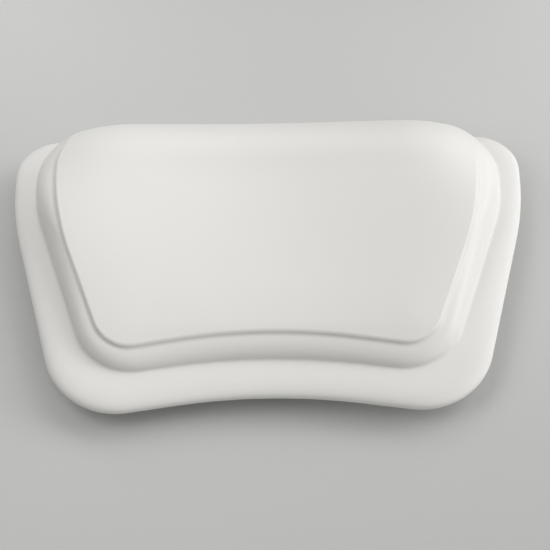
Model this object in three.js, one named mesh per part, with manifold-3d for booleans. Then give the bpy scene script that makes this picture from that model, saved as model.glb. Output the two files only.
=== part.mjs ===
// A bath pillow: a moulded soft head pad on a thin flange, stiffened by a plate inside its back
// and held to the bath by four suction cups that plug into seats in that plate.
// It lies on its back. +Z is the face the head rests on, +Y is the top edge, X = 0 is the plane of
// symmetry, and Z = 0 is the plane of the cups' rims. Lengths are in millimetres, angles in degrees.
import * as THREE from "three";
import { mergeVertices } from "three/addons/utils/BufferGeometryUtils.js";
import Module from "manifold-3d";

const wasm = await Module();
wasm.setup();

// Flange: the rim that lies nearest the bath.
const flangeWidth = 320;
const flangeHeight = 191.4; // top edge to the lowest points of the bottom corners
const flangeThickness = 9.5;
const flangeTopRadius = 26.5;
const flangeSideDrop = 55.1; // top edge to the bend where the sides start to taper
const flangeSideRadius = 180;
const flangeTaper = 14.6;
const flangeBottomRadius = 44.8;
const archHeight = 12.2; // lowest points up to where the two bottom lines would meet
const archSlope = 8.35;
const archRadius = 379;
const backRound = 4;
const frontWidth = 16; // the flange's front falls to its edge over this width

// Pad: the raised cushion, set in from the flange.
const padSideMargin = 15.8;
const padBottomMargin = 22.3;
const padTopMargin = 1.5; // flange left showing along the top edge
const padOvershoot = 11.8; // how far the pad's corners would run past the flange's top edge
const padTopSoftness = 3.3; // how gently those corners are turned along the top edge
const padTopRadius = 47.7;
const padSideDrop = 55.6;
const padSideRadius = 80;
const padTaper = 18.7;
const padBottomRadius = 35.9;
const padRiseBottom = 10; // flange face up to the crease, at the pad's bottom edge
const padRiseTop = 43.3; // the same at the top edge, before the roll takes it down
const shoulderWidth = 10.9; // pad's foot to the crease, at the bottom and the top
const sideShoulderWidth = 14.9; // the same at the upper sides
const faceSideDrop = 73.2; // the face's sides taper from lower down than the pad's foot
const faceTaper = 20.5;
const faceTopRadius = 42.7;
const faceSideRadius = 160;
const faceBottomRadius = 23.2;
const shoulderFullness = 3; // 2 is an elliptical shoulder, 1 a straight slope
const topShoulderFullness = 1.87;
const creaseStep = 2.2; // small step up from the shoulder to the face
const stepWidth = 2.1; // the step is rounded over this width
const stepFade = 36; // the step dies away over this length towards the top edge
const stepFadeEnd = 15.4; // and is gone this far below it
const crownHeight = 1.8;
const crownWidth = 30;
const rollWidth = 37.3; // the face rolls back over this stretch below the top edge
const rollShare = 0.8176; // share of the rise that the roll takes away at the top edge
const cornerRollStart = 80.9; // the top corners roll back further, from this far out
const cornerRollShare = 0.86; // share of the rise that this takes away at the corners
const dishDepth = 8.5; // shallow hollow for the head
const dishHalfWidth = 132;
const dishRunIn = 100; // the hollow deepens over this length from the face's bottom edge
const dishRunOut = 50; // and runs out over this length towards the top edge
const dishAtTop = 0.23; // share of the hollow that is left at the top edge

// Skin, foam, back and the plate inside.
const skinThickness = 2;
const lipWidth = 4; // the front skin turns this far onto the back
const plateMargin = 20; // pad's edge to the plate's edge
const plateThickness = 3;
const lockHoleRadius = 9; // foam grows through these and holds the plate
const lockHoleSpacing = 62;
const gap = 0.3; // clearance between pieces that touch

// Seats in the plate, and the cups that plug into them.
const cupEdgeDistance = 24; // plate's edge to a cup's axis
const cupStandOff = 14; // back of the pillow to the rims
const seatFlangeRadius = 14;
const seatBarrelRadius = 7.5;
const seatBead = 1.1; // snap bead that stands out of the barrel behind the plate
const seatBeadLength = 2.4;
const seatBoreRadius = 5;
const seatBoreDepth = 13.5;
const seatEndWall = 2.5;
const stemLength = 11.5; // plugged into the seat
const stemRibDepth = 0.5;
const stemRibs = 3;
const stemCollarRadius = 8;
const stemCollarThickness = 1.6;
const stemNeckRadius = 3.2;
const stemButtonRadius = 6;
const stemButtonThickness = 2;
const cupRadius = 23;
const cupBossRadius = 9.5;
const cupRoof = 1.6; // wall over and under the button's pocket
const cupRimWidth = 3.5; // flat sealing ring
const cupRimThickness = 0.9;
const cupBellThickness = 2.1;
const tabWidth = 9;
const tabReach = 8; // beyond the rim
const tabThickness = 1.5;
const tabClearance = 0.5; // tab's underside above the rim plane

const roundSteps = 20; // facets round a turned piece

const rad = THREE.MathUtils.degToRad;
const topY = flangeHeight / 2;
const backZ = cupStandOff;

// Outlines

// Seven corners, anticlockwise from the top right, each with the radius that rounds it.
function outlineCorners({ halfWidth, top, sideDrop, taper, archY, radii }) {
  const bend = new THREE.Vector2(halfWidth, top - sideDrop);
  // The tapered side meets the bottom line, which falls away from the arch.
  const t = Math.tan(rad(taper));
  const s = Math.tan(rad(archSlope));
  const x = (bend.x - (bend.y - archY) * t) / (1 + s * t);
  const bottom = new THREE.Vector2(x, archY - x * s);
  const right = [
    { at: bottom, radius: radii.bottom },
    { at: bend, radius: radii.side },
    { at: new THREE.Vector2(halfWidth, top), radius: radii.top },
  ];
  const left = right.map(({ at, radius }) => ({ at: new THREE.Vector2(-at.x, at.y), radius }));
  const arch = { at: new THREE.Vector2(0, archY), radius: radii.arch };
  return [right[2], left[2], left[1], left[0], arch, right[0], right[1]];
}

function turnAt(before, at, after) {
  return at.clone().sub(before).cross(after.clone().sub(at));
}

// The same corners with every edge moved inwards.
function insetCorners(corners, distance) {
  const count = corners.length;
  const edges = corners.map(({ at }, i) => {
    const next = corners[(i + 1) % count].at;
    const along = next.clone().sub(at).normalize();
    const inward = new THREE.Vector2(-along.y, along.x);
    return { from: at.clone().addScaledVector(inward, distance), along };
  });
  return corners.map(({ at, radius }, i) => {
    const a = edges[(i + count - 1) % count];
    const b = edges[i];
    const reach = b.from.clone().sub(a.from).cross(b.along) / a.along.cross(b.along);
    const convex = turnAt(corners[(i + count - 1) % count].at, at, corners[(i + 1) % count].at) > 0;
    return {
      at: a.from.clone().addScaledVector(a.along, reach),
      radius: Math.max(radius + (convex ? -distance : distance), 1),
    };
  });
}

// Steps round each corner, and along the straight edge that follows it, in the corners' order.
const cornerSteps = [5, 5, 2, 4, 4, 4, 2];
const edgeSteps = [4, 1, 2, 2, 2, 2, 1];

// Points along a rounded outline. Every outline gets the same number of points, in the same order.
function sampleOutline(corners) {
  const count = corners.length;
  const wanted = corners.map(({ at, radius }, i) => {
    const toBefore = corners[(i + count - 1) % count].at.clone().sub(at).normalize();
    const toAfter = corners[(i + 1) % count].at.clone().sub(at).normalize();
    const half = Math.acos(THREE.MathUtils.clamp(toBefore.dot(toAfter), -1, 1)) / 2;
    return { at, toBefore, toAfter, half, reach: radius / Math.tan(half) };
  });
  // A rounding never takes more of an edge than the edge has.
  const shares = wanted.map(({ at, reach }, i) => {
    const next = wanted[(i + 1) % count];
    return Math.min(1, (0.98 * at.distanceTo(next.at)) / (reach + next.reach));
  });
  const arcs = wanted.map(({ at, toBefore, toAfter, half, reach }, i) => {
    const kept = reach * Math.min(shares[i], shares[(i + count - 1) % count]);
    const middle = toBefore.clone().add(toAfter).normalize();
    const centre = at.clone().addScaledVector(middle, kept / Math.cos(half));
    const start = at.clone().addScaledVector(toBefore, kept).sub(centre);
    const end = at.clone().addScaledVector(toAfter, kept).sub(centre);
    const sweep = Math.atan2(start.cross(end), start.dot(end));
    return (share) => start.clone().rotateAround(new THREE.Vector2(), sweep * share).add(centre);
  });
  return arcs.flatMap((arc, i) => {
    const nextStart = arcs[(i + 1) % count](0);
    const points = Array.from({ length: cornerSteps[i] }, (_, k) => arc(k / cornerSteps[i]));
    for (let k = 0; k < edgeSteps[i]; k++) points.push(arc(1).lerp(nextStart, k / edgeSteps[i]));
    return points;
  });
}

const flangeCorners = outlineCorners({
  halfWidth: flangeWidth / 2,
  top: topY,
  sideDrop: flangeSideDrop,
  taper: flangeTaper,
  archY: -topY + archHeight,
  radii: { top: flangeTopRadius, side: flangeSideRadius, bottom: flangeBottomRadius, arch: archRadius },
});
const padTop = topY + padOvershoot;
const padCorners = outlineCorners({
  halfWidth: flangeWidth / 2 - padSideMargin,
  top: padTop,
  sideDrop: padSideDrop + padOvershoot,
  taper: padTaper,
  archY: -topY + archHeight + padBottomMargin,
  radii: {
    top: padTopRadius,
    side: padSideRadius,
    bottom: padBottomRadius,
    arch: archRadius + padBottomMargin,
  },
});

const faceCorners = outlineCorners({
  halfWidth: flangeWidth / 2 - padSideMargin - sideShoulderWidth,
  top: padTop - shoulderWidth,
  sideDrop: faceSideDrop + padOvershoot - shoulderWidth,
  taper: faceTaper,
  archY: -topY + archHeight + padBottomMargin + shoulderWidth,
  radii: { top: faceTopRadius, side: faceSideRadius, bottom: faceBottomRadius, arch: archRadius },
});

// Points of an outline kept below the flange's top edge by a smooth limit.
function underTop(points, limit) {
  return points.map(({ x, y }) => {
    const over = y - limit;
    return new THREE.Vector2(x, y - (over + Math.hypot(over, padTopSoftness)) / 2 + padTopSoftness / 4);
  });
}

function padOutline(inset) {
  return underTop(sampleOutline(insetCorners(padCorners, inset)), topY - padTopMargin - inset);
}

function faceOutline(inset) {
  const limit = topY - padTopMargin - shoulderWidth - inset;
  return underTop(sampleOutline(insetCorners(faceCorners, inset)), limit);
}

// Surface of the pillow

// Height of the flange's front at a distance in from its edge, above its back: a quarter of a flat ellipse.
function flangeFace(inset) {
  const out = 1 - Math.min(inset / frontWidth, 1);
  return backRound + (flangeThickness - backRound) * Math.sqrt(1 - out ** 2);
}

const padHalfWidth = flangeWidth / 2 - padSideMargin;
const padBottomY = -topY + archHeight + padBottomMargin;
const padTopY = topY - padTopMargin;

// Height of the pad's face over the flange's back: a wedge, dished for the head, that rolls back along
// its top edge and at its top corners.
function padFace({ x, y }) {
  const up = (y - padBottomY) / (padTopY - padBottomY);
  const wedge = padRiseBottom + (padRiseTop - padRiseBottom) * up;
  const roll = THREE.MathUtils.clamp((y - padTopY + rollWidth) / rollWidth, 0, 1);
  const rolled = padRiseTop * rollShare * (1 - Math.sqrt(1 - roll ** 2));
  const corner = Math.max((Math.abs(x) - cornerRollStart) / (padHalfWidth - cornerRollStart), 0);
  const cornerRoll = cornerRollShare * corner ** 2 * THREE.MathUtils.smoothstep(y, 0, padTopY) ** 2;
  const dishAcross = (1 + Math.cos(Math.PI * Math.min(Math.abs(x) / dishHalfWidth, 1))) / 2;
  const dishLow = padBottomY + shoulderWidth;
  const dishFromBottom = 1 - (1 - THREE.MathUtils.clamp((y - dishLow) / dishRunIn, 0, 1)) ** 2;
  const dishToTop = 1 - (1 - dishAtTop) * THREE.MathUtils.smoothstep(y, padTopY - dishRunOut, padTopY);
  const dish = dishDepth * dishAcross * dishFromBottom * dishToTop;
  return flangeThickness + (wedge - rolled) * (1 - cornerRoll) + creaseStep + crownHeight - dish;
}

function stepAt({ y }) {
  const end = padTopY - stepFadeEnd;
  return creaseStep * (1 - THREE.MathUtils.smoothstep(y, end - stepFade, end));
}

const flangeShares = [0.05, 0.17, 0.42, 0.75];
const shoulderShares = [0, 0.08, 0.3, 0.62, 1];
const stepShares = [0.45, 1];
const crownShares = [0.3, 0.62, 1];
const centreShares = [0.66, 0.32];

// The pillow's outer surface as rings of points, from the lip on its back over the edge and up to the middle.
function pillowRings() {
  const rings = [];
  const atHeight = (points, z) => rings.push(points.map(({ x, y }) => new THREE.Vector3(x, y, backZ + z)));
  const flangeAt = (inset) => sampleOutline(insetCorners(flangeCorners, inset));
  atHeight(flangeAt(backRound + lipWidth), 0);
  atHeight(flangeAt(backRound), 0);
  atHeight(flangeAt(backRound * (1 - Math.SQRT1_2)), backRound * (1 - Math.SQRT1_2));
  atHeight(flangeAt(0), backRound);

  const edge = flangeAt(0);
  const base = padOutline(0);
  const margins = edge.map((point, i) => point.distanceTo(base[i]));
  for (const share of flangeShares) {
    const points = edge.map((point, i) => point.clone().lerp(base[i], share));
    rings.push(points.map(({ x, y }, i) => new THREE.Vector3(x, y, backZ + flangeFace(margins[i] * share))));
  }

  const crease = faceOutline(0);
  const fullness = base.map((_, i) => {
    const along = base[(i + 1) % base.length].clone().sub(base.at(i - 1)).normalize();
    const facingUp = THREE.MathUtils.smoothstep(-along.x, 0, 0.7);
    return THREE.MathUtils.lerp(shoulderFullness, topShoulderFullness, facingUp);
  });
  // The shoulder rises steeply from the pad's foot and runs into the slope of the face at the crease.
  for (const share of shoulderShares) {
    const ring = base.map((point, i) => {
      const p = point.clone().lerp(crease[i], share);
      const foot = flangeFace(margins[i]);
      const outside = 1 + p.distanceTo(crease[i]) / crownWidth;
      const full = padFace(p) - crownHeight * outside ** 2 - stepAt(crease[i]);
      const climb = (1 - (1 - share) ** fullness[i]) ** (1 / fullness[i]);
      return new THREE.Vector3(p.x, p.y, backZ + foot + (full - foot) * climb);
    });
    rings.push(ring);
  }

  for (const share of stepShares) {
    const turn = (share * Math.PI) / 2;
    const points = faceOutline(stepWidth * (1 - Math.cos(turn)));
    const below = crease.map((p) => crownHeight + stepAt(p) * (1 - Math.sin(turn)));
    rings.push(points.map((p, i) => new THREE.Vector3(p.x, p.y, backZ + padFace(p) - below[i])));
  }
  for (const share of crownShares) {
    const points = faceOutline(stepWidth + crownWidth * share);
    const below = crownHeight * (1 - share) ** 2;
    rings.push(points.map((p) => new THREE.Vector3(p.x, p.y, backZ + padFace(p) - below)));
  }
  const last = faceOutline(stepWidth + crownWidth);
  for (const share of centreShares) {
    const points = last.map((p) => p.clone().sub(padMiddle).multiplyScalar(share).add(padMiddle));
    rings.push(points.map((p) => new THREE.Vector3(p.x, p.y, backZ + padFace(p))));
  }
  return rings;
}

const padMiddle = new THREE.Vector2(0, (padBottomY + padTopY) / 2);

// Solids

// A closed skin over rings of points, with a fan to a single point at each end. The first few rings may be
// listed from the middle outwards, and are then split along the same diagonals as rings listed inwards.
function loft(firstPoint, rings, lastPoint, outwards = 0) {
  const size = rings[0].length;
  const points = [firstPoint, ...rings.flat(), lastPoint];
  const index = [];
  for (let i = 0; i < size; i++) {
    const j = (i + 1) % size;
    index.push(0, 1 + j, 1 + i);
    for (let k = 0; k < rings.length - 1; k++) {
      const [a, b] = [1 + k * size, 1 + (k + 1) * size];
      if (k < outwards) index.push(a + i, a + j, b + i, a + j, b + j, b + i);
      else index.push(a + i, a + j, b + j, a + i, b + j, b + i);
    }
    const end = 1 + (rings.length - 1) * size;
    index.push(end + i, end + j, points.length - 1);
  }
  return new THREE.BufferGeometry().setFromPoints(points).setIndex(index);
}

// Rings moved into the pillow, square to the bands on both sides. Rings flat on the back move straight up.
function movedIn(rings, peak, distance) {
  const floor = Math.min(...rings[0].map(({ z }) => z));
  const size = rings[0].length;
  const pointAt = (k, i) => (k < rings.length ? rings[k][(i + size) % size] : peak);
  return rings.map((ring, k) =>
    ring.map((point, i) => {
      if (point.z < floor + 1e-6) return point.clone().setZ(point.z + distance);
      const around = pointAt(k, i + 1).clone().sub(pointAt(k, i - 1));
      const before = around.clone().cross(point.clone().sub(pointAt(k - 1, i))).normalize();
      const after = around.clone().cross(pointAt(k + 1, i).clone().sub(point)).normalize();
      const normal = before.clone().add(after).normalize();
      return point.clone().addScaledVector(normal, -distance / normal.dot(before));
    }),
  );
}

function solidOf(geometry) {
  const bare = geometry.clone();
  bare.deleteAttribute("normal");
  bare.deleteAttribute("uv");
  const merged = mergeVertices(bare, 1e-4);
  const corners = Array.from(merged.index.array);
  const triVerts = [];
  for (let i = 0; i < corners.length; i += 3) {
    const [a, b, c] = corners.slice(i, i + 3);
    if (a !== b && b !== c && c !== a) triVerts.push(a, b, c);
  }
  return new wasm.Manifold(
    new wasm.Mesh({
      numProp: 3,
      vertProperties: new Float32Array(merged.getAttribute("position").array),
      triVerts: new Uint32Array(triVerts),
    }),
  );
}

function geometryOf(solid) {
  const { numProp, vertProperties, triVerts } = solid.getMesh();
  const positions = new Float32Array((vertProperties.length / numProp) * 3);
  for (let i = 0; i < positions.length / 3; i++) {
    positions.set(vertProperties.subarray(i * numProp, i * numProp + 3), i * 3);
  }
  return new THREE.BufferGeometry()
    .setAttribute("position", new THREE.BufferAttribute(positions, 3))
    .setIndex(new THREE.BufferAttribute(new Uint32Array(triVerts), 1));
}

// A flat plate of an outline, with round holes, between two heights.
function plate(outline, holes, low, high) {
  const shape = new THREE.Shape(outline);
  for (const { x, y, radius } of holes) {
    const hole = new THREE.Path();
    hole.absarc(x, y, radius, 0, 2 * Math.PI, true);
    shape.holes.push(hole);
  }
  const options = { depth: high - low, bevelEnabled: false, curveSegments: roundSteps / 2 };
  return new THREE.ExtrudeGeometry(shape, options).translate(0, 0, low);
}

// A turned piece. Its profile lists radius and height from the bottom of the axis to the top of it.
function turned(profile) {
  const points = profile.map(([radius, height]) => new THREE.Vector2(radius, height));
  return new THREE.LatheGeometry(points, roundSteps).rotateX(Math.PI / 2);
}

// Materials

const materials = {
  skin: new THREE.MeshStandardMaterial({ color: 0xe9e8e4, roughness: 0.5, metalness: 0 }),
  foam: new THREE.MeshStandardMaterial({ color: 0xe6dfcb, roughness: 0.95, metalness: 0 }),
  backing: new THREE.MeshStandardMaterial({ color: 0xdedcd6, roughness: 0.65, metalness: 0 }),
  plate: new THREE.MeshStandardMaterial({ color: 0x3a3c3f, roughness: 0.55, metalness: 0 }),
  seat: new THREE.MeshStandardMaterial({ color: 0xf2f1ee, roughness: 0.4, metalness: 0 }),
  stem: new THREE.MeshStandardMaterial({ color: 0xf4f3f0, roughness: 0.35, metalness: 0 }),
  cup: new THREE.MeshStandardMaterial({ color: 0xd9dedd, roughness: 0.2, metalness: 0 }),
};

const pillow = new THREE.Group();

function addPiece(parent, name, geometry, material) {
  const mesh = new THREE.Mesh(geometry, material);
  mesh.name = name;
  parent.add(mesh);
  return mesh;
}

// Front skin and foam

const rings = pillowRings();
const peak = new THREE.Vector3(padMiddle.x, padMiddle.y, backZ + padFace(padMiddle));
const innerPeak = peak.clone().setZ(peak.z - skinThickness);
const foamPeak = innerPeak.clone().setZ(innerPeak.z - gap);
const keptInside = [0, 1, 3, 6, 8, 10, 11, 15, 17, 19]; // the crease doesn't show inside
const innerRings = keptInside.map((k) => movedIn(rings, peak, skinThickness)[k]);
const foamRings = movedIn(innerRings.slice(1), innerPeak, gap);
const skin = loft(innerPeak, [...innerRings.toReversed(), ...rings], peak, innerRings.length - 1);
addPiece(pillow, "front_skin", skin, materials.skin);

// Cups sit in from the plate's edges, two near its top and two near its bottom.
const plateOutline = padOutline(plateMargin);
const plateTop = Math.max(...plateOutline.map(({ y }) => y));
const plateLow = Math.min(...plateOutline.map(({ y }) => y));
const upperY = plateTop - cupEdgeDistance;
const lowerY = plateLow + cupEdgeDistance;

function plateHalfWidth(y) {
  const crossings = plateOutline.flatMap((point, i) => {
    const next = plateOutline[(i + 1) % plateOutline.length];
    const crosses = (point.y - y) * (next.y - y) <= 0 && point.y !== next.y;
    return crosses ? [THREE.MathUtils.mapLinear(y, point.y, next.y, point.x, next.x)] : [];
  });
  return Math.max(...crossings);
}

const cupPlaces = [
  { name: "upper_left", x: -plateHalfWidth(upperY) + cupEdgeDistance, y: upperY },
  { name: "upper_right", x: plateHalfWidth(upperY) - cupEdgeDistance, y: upperY },
  { name: "lower_left", x: -plateHalfWidth(lowerY) + cupEdgeDistance, y: lowerY },
  { name: "lower_right", x: plateHalfWidth(lowerY) - cupEdgeDistance, y: lowerY },
];
const lockPlaces = [-1, 0, 1].map((k) => ({ x: k * lockHoleSpacing, y: (upperY + lowerY) / 2 }));

const plateFloor = backZ + skinThickness + gap;
const plateRoof = plateFloor + plateThickness;
const barrelHeight = seatBoreDepth + seatEndWall;

// Foam fills the front skin, and is cut away for the plate, its seats and nothing else.
const foamFloor = new THREE.Vector3(0, 0, plateFloor);
let foam = solidOf(loft(foamFloor, foamRings, foamPeak));
const lockPosts = lockPlaces.map(({ x, y }) => ({ x, y, radius: lockHoleRadius - gap }));
const platePocket = plate(padOutline(plateMargin - gap), lockPosts, plateFloor - 1, plateRoof + gap);
foam = foam.subtract(solidOf(platePocket));
for (const { x, y } of cupPlaces) {
  const radius = seatBarrelRadius + seatBead + gap;
  const high = backZ + barrelHeight + gap;
  const pocket = new THREE.CylinderGeometry(radius, radius, high - plateFloor, roundSteps);
  foam = foam.subtract(solidOf(pocket.rotateX(Math.PI / 2).translate(x, y, (high + plateFloor) / 2)));
}
addPiece(pillow, "foam_core", geometryOf(foam), materials.foam);

// Back skin and plate

const backOutline = sampleOutline(insetCorners(flangeCorners, backRound + lipWidth + gap));
const seatHoles = cupPlaces.map(({ x, y }) => ({ x, y, radius: seatFlangeRadius + gap }));
addPiece(pillow, "back_skin", plate(backOutline, seatHoles, backZ, backZ + skinThickness), materials.backing);

const barrelHoles = cupPlaces.map(({ x, y }) => ({ x, y, radius: seatBarrelRadius + gap }));
const lockHoles = lockPlaces.map(({ x, y }) => ({ x, y, radius: lockHoleRadius }));
const stiffener = plate(plateOutline, [...barrelHoles, ...lockHoles], plateFloor, plateRoof);
addPiece(pillow, "insert_plate", stiffener, materials.plate);

// Seats, stems and cups. Heights are measured from the back of the pillow.

function seatProfile() {
  const beadLow = skinThickness + plateThickness + 2 * gap;
  return [
    [0, seatBoreDepth],
    [seatBoreRadius, seatBoreDepth],
    [seatBoreRadius, 0],
    [seatFlangeRadius, 0],
    [seatFlangeRadius, skinThickness],
    [seatBarrelRadius, skinThickness],
    [seatBarrelRadius, beadLow],
    [seatBarrelRadius + seatBead, beadLow],
    [seatBarrelRadius, beadLow + seatBeadLength],
    [seatBarrelRadius, barrelHeight],
    [0, barrelHeight],
  ];
}

const collarTop = -gap;
const collarLow = collarTop - stemCollarThickness;
const bossTop = collarLow - gap;
const pocketTop = bossTop - cupRoof;
const buttonTop = pocketTop - gap;
const buttonLow = buttonTop - stemButtonThickness;
const pocketLow = buttonLow - gap;
const domeTop = pocketLow - cupRoof;
const rimLow = -cupStandOff;

function stemProfile() {
  const ribRadius = seatBoreRadius - gap;
  const ribPitch = stemLength / (stemRibs + 0.5);
  const ribs = Array.from({ length: stemRibs }, (_, k) => [
    [ribRadius - stemRibDepth, ribPitch * (k + 0.5)],
    [ribRadius, ribPitch * (k + 0.9)],
    [ribRadius - stemRibDepth, ribPitch * (k + 1.3)],
  ]);
  return [
    [0, buttonLow],
    [stemButtonRadius, buttonLow],
    [stemButtonRadius, buttonTop],
    [stemNeckRadius, buttonTop],
    [stemNeckRadius, collarLow],
    [stemCollarRadius, collarLow],
    [stemCollarRadius, collarTop],
    [ribRadius - stemRibDepth, collarTop],
    ...ribs.flat(),
    [ribRadius - 2 * stemRibDepth, stemLength],
    [0, stemLength],
  ];
}

// The bell: its underside is a dome, and its outside falls in one curve from the boss to the rim.
function cupProfile() {
  const rimInner = cupRadius - cupRimWidth;
  const dome = new THREE.EllipseCurve(0, rimLow, rimInner, domeTop - rimLow, Math.PI / 2, 0, true);
  const bossLow = domeTop + (cupBellThickness - cupRoof) / 2;
  const outside = new THREE.QuadraticBezierCurve(
    new THREE.Vector2(cupRadius, rimLow + cupRimThickness),
    new THREE.Vector2((cupRadius + cupBossRadius) / 2, (bossLow + rimLow) / 2 + cupBellThickness),
    new THREE.Vector2(cupBossRadius, bossLow + cupBellThickness),
  );
  return [
    ...dome.getPoints(6).map(({ x, y }) => [Math.max(x, 0), y]),
    [cupRadius, rimLow],
    ...outside.getPoints(5).map(({ x, y }) => [x, y]),
    [cupBossRadius, bossTop],
    [stemNeckRadius + gap, bossTop],
    [stemNeckRadius + gap, pocketTop],
    [stemButtonRadius + gap, pocketTop],
    [stemButtonRadius + gap, pocketLow],
    [0, pocketLow],
  ];
}

// Release tab: a tongue that stands out of the rim, with a round end.
function tabGeometry(side) {
  const shape = new THREE.Shape();
  const end = cupRadius + tabReach - tabWidth / 2;
  shape.moveTo(cupRadius - cupRimWidth / 2, -tabWidth / 2);
  shape.lineTo(end, -tabWidth / 2);
  shape.absarc(end, 0, tabWidth / 2, -Math.PI / 2, Math.PI / 2, false);
  shape.lineTo(cupRadius - cupRimWidth / 2, tabWidth / 2);
  const options = { depth: tabThickness, bevelEnabled: false, curveSegments: 8 };
  const tab = new THREE.ExtrudeGeometry(shape, options);
  return tab.translate(0, 0, rimLow + tabClearance).rotateZ(side > 0 ? 0 : Math.PI);
}

for (const { name, x, y } of cupPlaces) {
  const place = new THREE.Group();
  place.position.set(x, y, backZ);
  pillow.add(place);
  addPiece(place, `seat_${name}`, turned(seatProfile()), materials.seat);
  addPiece(place, `stem_${name}`, turned(stemProfile()), materials.stem);
  const cup = solidOf(turned(cupProfile())).add(solidOf(tabGeometry(x)));
  addPiece(place, `suction_cup_${name}`, geometryOf(cup), materials.cup);
}

export default pillow;
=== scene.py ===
import math

import bmesh
import bpy
from mathutils import Matrix, Vector


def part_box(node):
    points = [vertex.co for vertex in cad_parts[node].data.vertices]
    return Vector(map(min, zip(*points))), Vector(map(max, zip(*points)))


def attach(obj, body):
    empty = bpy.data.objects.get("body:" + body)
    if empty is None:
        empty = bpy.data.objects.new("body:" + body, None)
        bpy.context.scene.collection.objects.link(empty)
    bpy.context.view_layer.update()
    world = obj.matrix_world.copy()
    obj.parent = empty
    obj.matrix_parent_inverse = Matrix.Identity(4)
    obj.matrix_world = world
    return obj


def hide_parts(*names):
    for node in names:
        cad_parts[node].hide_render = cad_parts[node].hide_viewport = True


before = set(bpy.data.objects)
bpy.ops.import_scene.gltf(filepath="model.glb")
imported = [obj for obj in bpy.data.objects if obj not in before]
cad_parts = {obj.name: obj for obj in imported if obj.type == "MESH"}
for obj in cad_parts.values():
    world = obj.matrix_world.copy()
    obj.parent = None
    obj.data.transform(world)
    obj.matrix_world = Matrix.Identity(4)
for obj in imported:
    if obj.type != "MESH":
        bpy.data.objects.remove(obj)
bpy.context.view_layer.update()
mm = 0.001
tiny = 1e-6
scene = bpy.context.scene
scene.view_settings.view_transform = "Standard"
print("frame loaded:", len(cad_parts), "nodes")


# camera, light and floor

view = {"azimuth": 1.04, "elevation": 60.1, "roll": -1.74, "distance": 0.95,
        "target": (0.00438, -0.00989, 0.0275), "focalPixels": 1566.6, "widthPixels": 550, "sensorWidth": 36}


def turnedAxes(azimuth, elevation, roll):
    a, e, r = (math.radians(v) for v in (azimuth, elevation, roll))
    back = Vector((math.sin(a) * math.cos(e), -math.cos(a) * math.cos(e), math.sin(e)))
    right = Vector((math.cos(a), math.sin(a), 0))
    up = back.cross(right)
    return right * math.cos(r) + up * math.sin(r), up * math.cos(r) - right * math.sin(r), back


def addCamera():
    right, up, back = turnedAxes(view["azimuth"], view["elevation"], view["roll"])
    camera = bpy.data.objects.new("camera", bpy.data.cameras.new("camera"))
    camera.data.sensor_width = view["sensorWidth"]
    camera.data.lens = view["focalPixels"] / view["widthPixels"] * view["sensorWidth"]
    place = Matrix((right, up, back)).transposed().to_4x4()
    place.translation = Vector(view["target"]) + back * view["distance"]
    camera.matrix_world = place
    scene.collection.objects.link(camera)
    scene.camera = camera


lamps = {  # azimuth goes anticlockwise from +X, and each lamp is a soft disk
    "right": {"azimuth": 0, "elevation": 20, "distance": 1.4, "size": 0.9, "watts": 7.4},
    "rightBack": {"azimuth": 22, "elevation": 45, "distance": 1.4, "size": 0.9, "watts": 5.15},
    "rightFront": {"azimuth": 315, "elevation": 20, "distance": 1.4, "size": 0.9, "watts": 3.9},
    "rightHigh": {"azimuth": 0, "elevation": 68, "distance": 1.4, "size": 0.9, "watts": 0.6},
    "leftFront": {"azimuth": 236, "elevation": 35, "distance": 0.6, "size": 0.4, "watts": 0.2},
    "leftNear": {"azimuth": 200, "elevation": 62, "distance": 0.6, "size": 0.4, "watts": 0.98},
    "backNear": {"azimuth": 90, "elevation": 62, "distance": 0.6, "size": 0.4, "watts": 0.58},
    "leftCorner": {"azimuth": 150, "elevation": 40, "distance": 0.42, "size": 0.3, "watts": 0.175},
    "leftCornerLow": {"azimuth": 126, "elevation": 20, "distance": 0.42, "size": 0.3, "watts": 0.17},
    "rightCornerLow": {"azimuth": 35, "elevation": 20, "distance": 0.42, "size": 0.3, "watts": 0.17},
}
lampAim = Vector((0, 0, 0.03))


def addLight(name, azimuth, elevation, distance, size, watts):
    lamp = bpy.data.lights.new(name, "AREA")
    lamp.shape, lamp.size, lamp.energy = "DISK", size, watts
    light = bpy.data.objects.new(name, lamp)
    a, e = math.radians(azimuth), math.radians(elevation)
    light.location = Vector((math.cos(a) * math.cos(e), math.sin(a) * math.cos(e), math.sin(e))) * distance
    light.rotation_euler = (lampAim - light.location).to_track_quat("-Z", "Y").to_euler()
    scene.collection.objects.link(light)


# shader sums

class Wire:
    # a shader socket that takes part in sums
    def __init__(self, tree, socket=None):
        self.tree, self.socket = tree, socket

    def put(self, target, value):
        if isinstance(value, Wire):
            self.tree.links.new(value.socket, target)
        else:
            target.default_value = value

    def add(self, kind, settings=None, sockets=None, out=0):
        node = self.tree.nodes.new(kind)
        for name, value in (settings or {}).items():
            setattr(node, name, value)
        for name, value in (sockets or {}).items():
            self.put(node.inputs[name], value)
        return Wire(self.tree, node.outputs[out])

    def sum(self, operation, first, second):
        return self.add("ShaderNodeMath", {"operation": operation}, {0: first, 1: second})

    def __add__(self, other):
        return self.sum("ADD", self, other)

    def __radd__(self, other):
        return self.sum("ADD", other, self)

    def __sub__(self, other):
        return self.sum("SUBTRACT", self, other)

    def __rsub__(self, other):
        return self.sum("SUBTRACT", other, self)

    def __mul__(self, other):
        return self.sum("MULTIPLY", self, other)

    def __rmul__(self, other):
        return self.sum("MULTIPLY", other, self)


def linear(red, green, blue):
    # a colour as it is seen on screen, turned to the value that the shader takes
    return tuple(((v + 0.055) / 1.055) ** 2.4 if v > 0.04045 else v / 12.92 for v in (red, green, blue))


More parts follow.
